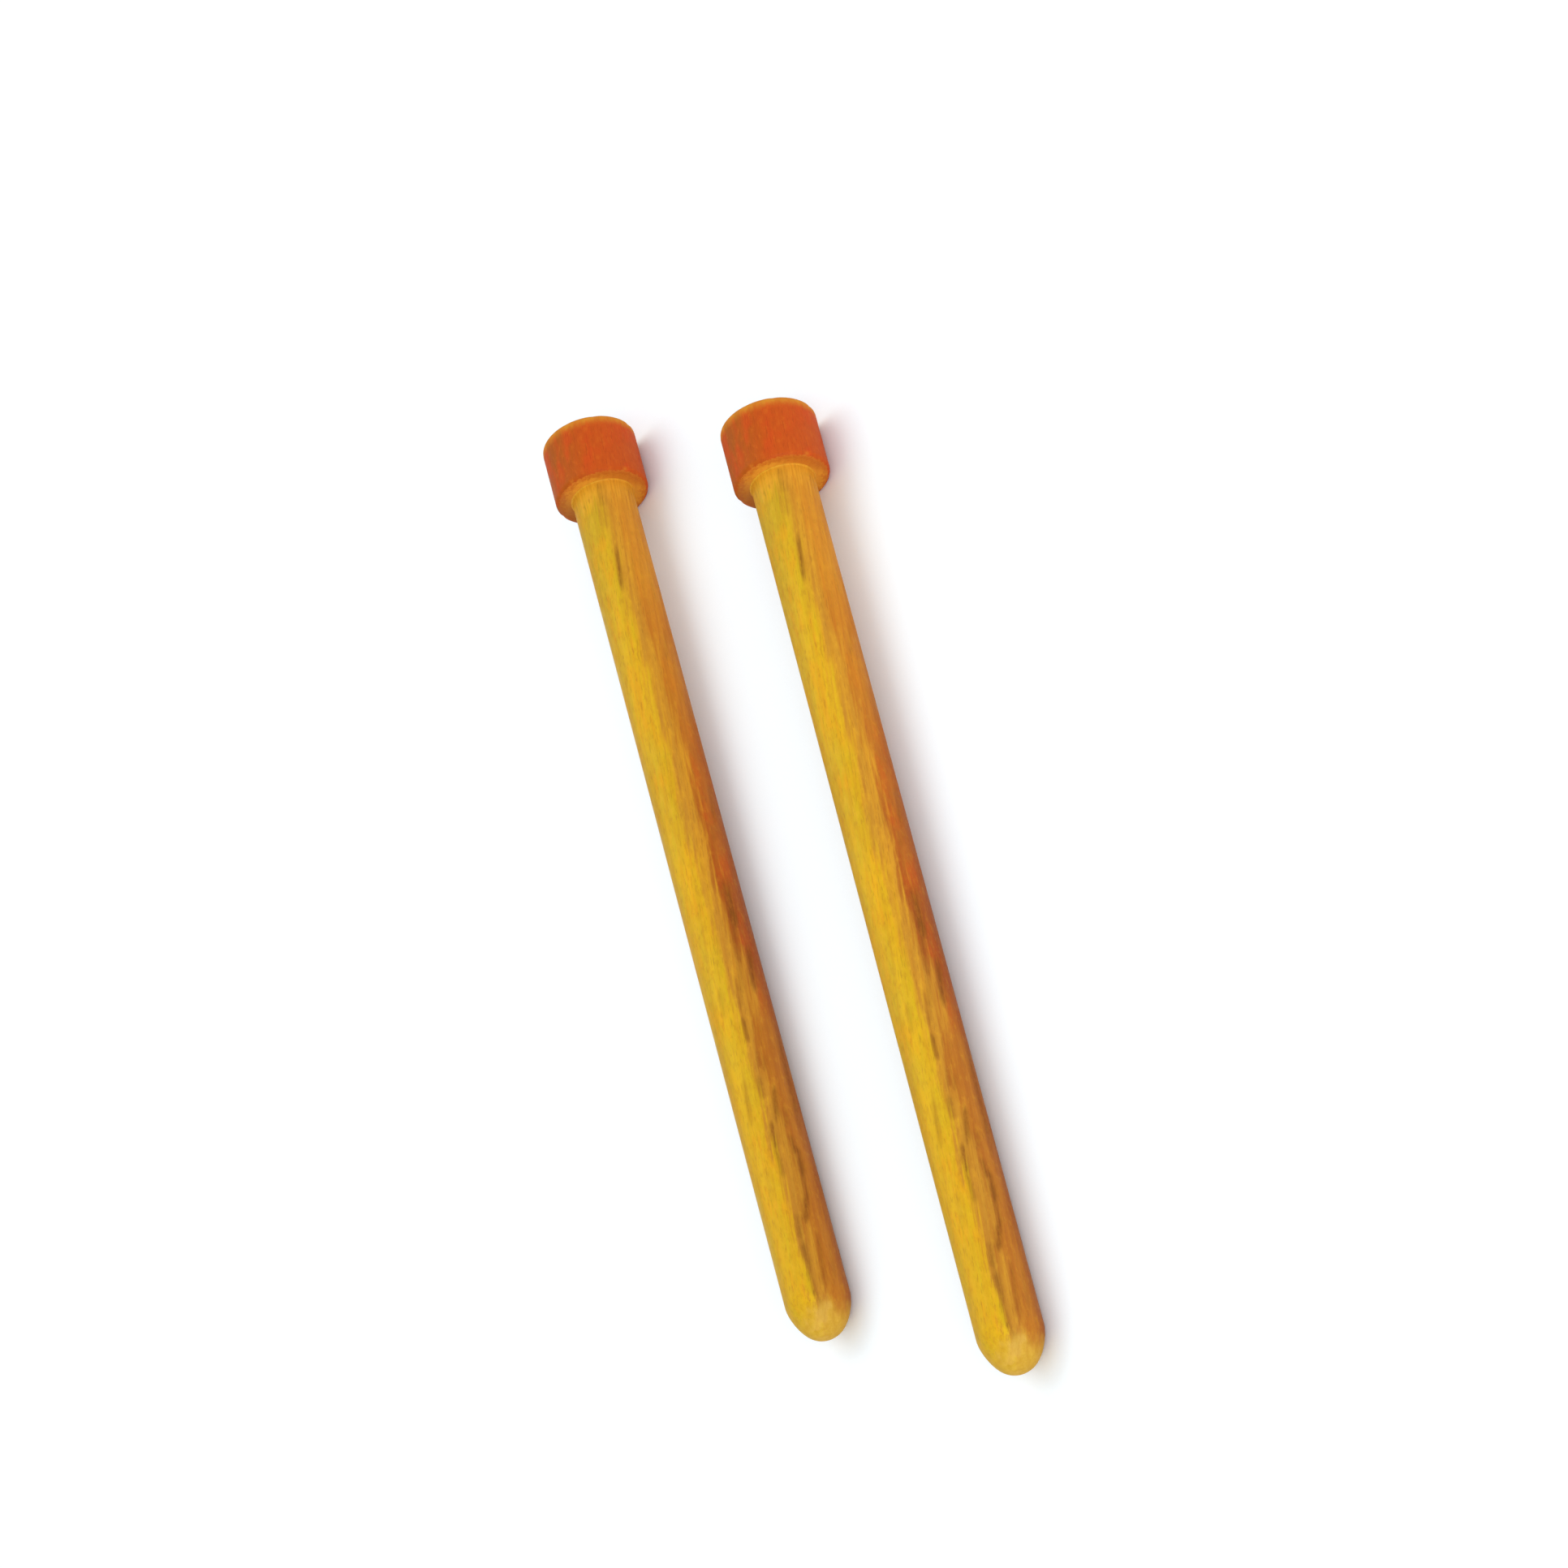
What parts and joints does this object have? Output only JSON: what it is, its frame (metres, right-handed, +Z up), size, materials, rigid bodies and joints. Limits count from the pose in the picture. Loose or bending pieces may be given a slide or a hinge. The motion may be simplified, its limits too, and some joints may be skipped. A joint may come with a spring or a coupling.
{
  "type": "straight knitting needles",
  "caption": "Matching jumbo wooden knitting needles, each a straight round dowel with a blunt rounded tip and a wider turned end cap that stops the stitches.",
  "frame": {"origin": "on the surface that the needles lie on, below the centre of the pair's bounding box", "axes": "+Z up from the surface; +Y along the needles, from the tips towards the end caps; +X from the left needle to the right one, seen from the tips' end"},
  "size_m": [0.0874, 0.2928, 0.023],
  "materials": {
    "shaft_wood": "semi-matt varnish over golden wood",
    "cap_wood": "orange-red stain under semi-matt varnish"
  },
  "bodies": {
    "left_needle": {"left_shaft": "shaft_wood", "left_end_cap": "cap_wood"},
    "right_needle": {"right_shaft": "shaft_wood", "right_end_cap": "cap_wood"}
  },
  "joints": [
    {"name": "right_needle_slide", "type": "slide", "parent": "left_needle", "child": "right_needle", "axis": [1, 0, 0], "range_m": [-0.03, 0.1]}
  ]
}
